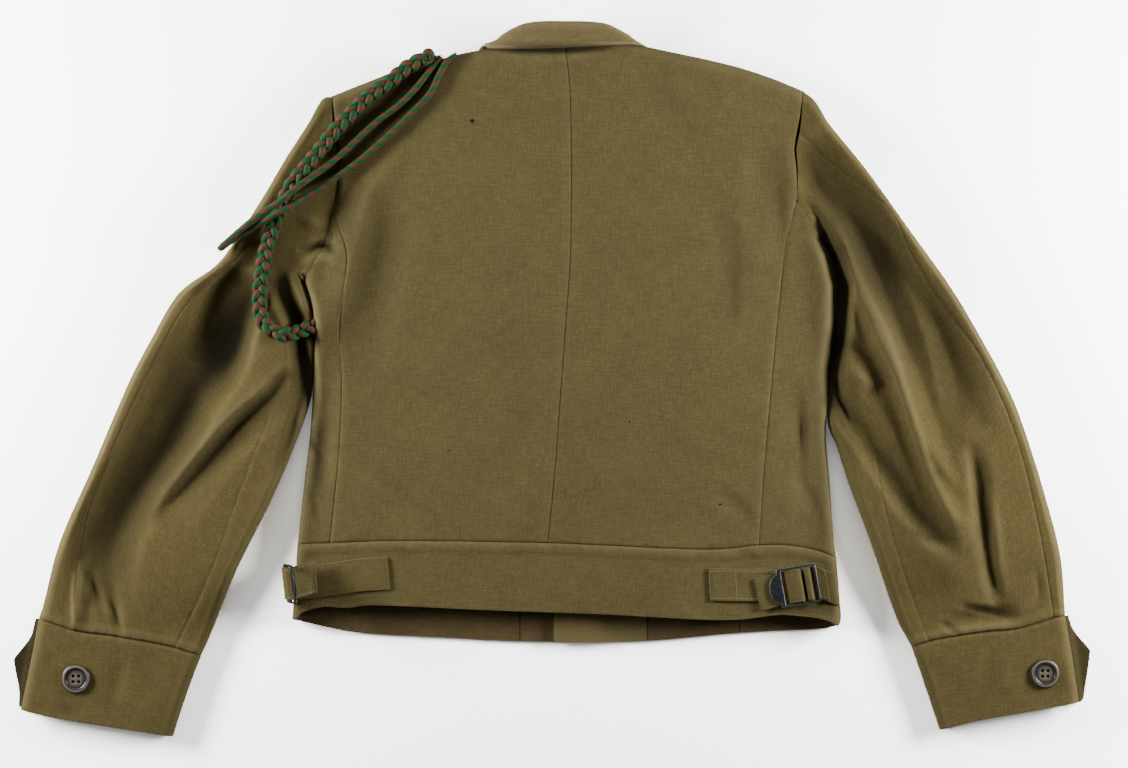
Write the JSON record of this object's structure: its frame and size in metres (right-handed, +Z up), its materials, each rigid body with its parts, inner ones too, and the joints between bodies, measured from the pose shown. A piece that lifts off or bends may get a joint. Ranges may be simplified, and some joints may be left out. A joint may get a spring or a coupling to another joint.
{
  "type": "ike jacket",
  "caption": "Short waist-length wool uniform jacket laid flat, back up, with button cuffs, adjusting straps at the waistband and a cord at one shoulder.",
  "frame": {"origin": "centre of the jacket's outline on the surface it lies on, z = 0", "axes": "+X to the right of someone who looks down on the jacket's back, +Y towards the collar, +Z up from the surface"},
  "size_m": [1.0051, 0.6669, 0.0471],
  "materials": {
    "olive_serge": "matt wool serge",
    "blued_steel": "dark, worn bright at the edges",
    "button_plastic": "satin",
    "cord_wool": "plaited wool"
  },
  "bodies": {
    "root": {"back_left": "olive_serge", "back_right": "olive_serge", "side_back_left": "olive_serge", "side_back_right": "olive_serge", "front_left": "olive_serge", "front_right": "olive_serge", "lapel_left": "olive_serge", "lapel_right": "olive_serge", "collar": "olive_serge", "shoulder_loop_left": "olive_serge", "shoulder_loop_right": "olive_serge", "sleeve_left_top": "olive_serge", "sleeve_left_under": "olive_serge", "sleeve_right_top": "olive_serge", "sleeve_right_under": "olive_serge", "cuff_left": "olive_serge", "cuff_right": "olive_serge", "waistband_back": "olive_serge", "waistband_front_left": "olive_serge", "waistband_front_right": "olive_serge", "strap_left": "olive_serge", "strap_right": "olive_serge", "buckle_strap_left": "olive_serge", "buckle_strap_right": "olive_serge", "buckle_left": "blued_steel", "buckle_right": "blued_steel", "cuff_button_left": "button_plastic", "cuff_button_right": "button_plastic", "cord_plait": "cord_wool", "cord_loop": "cord_wool"}
  },
  "joints": []
}
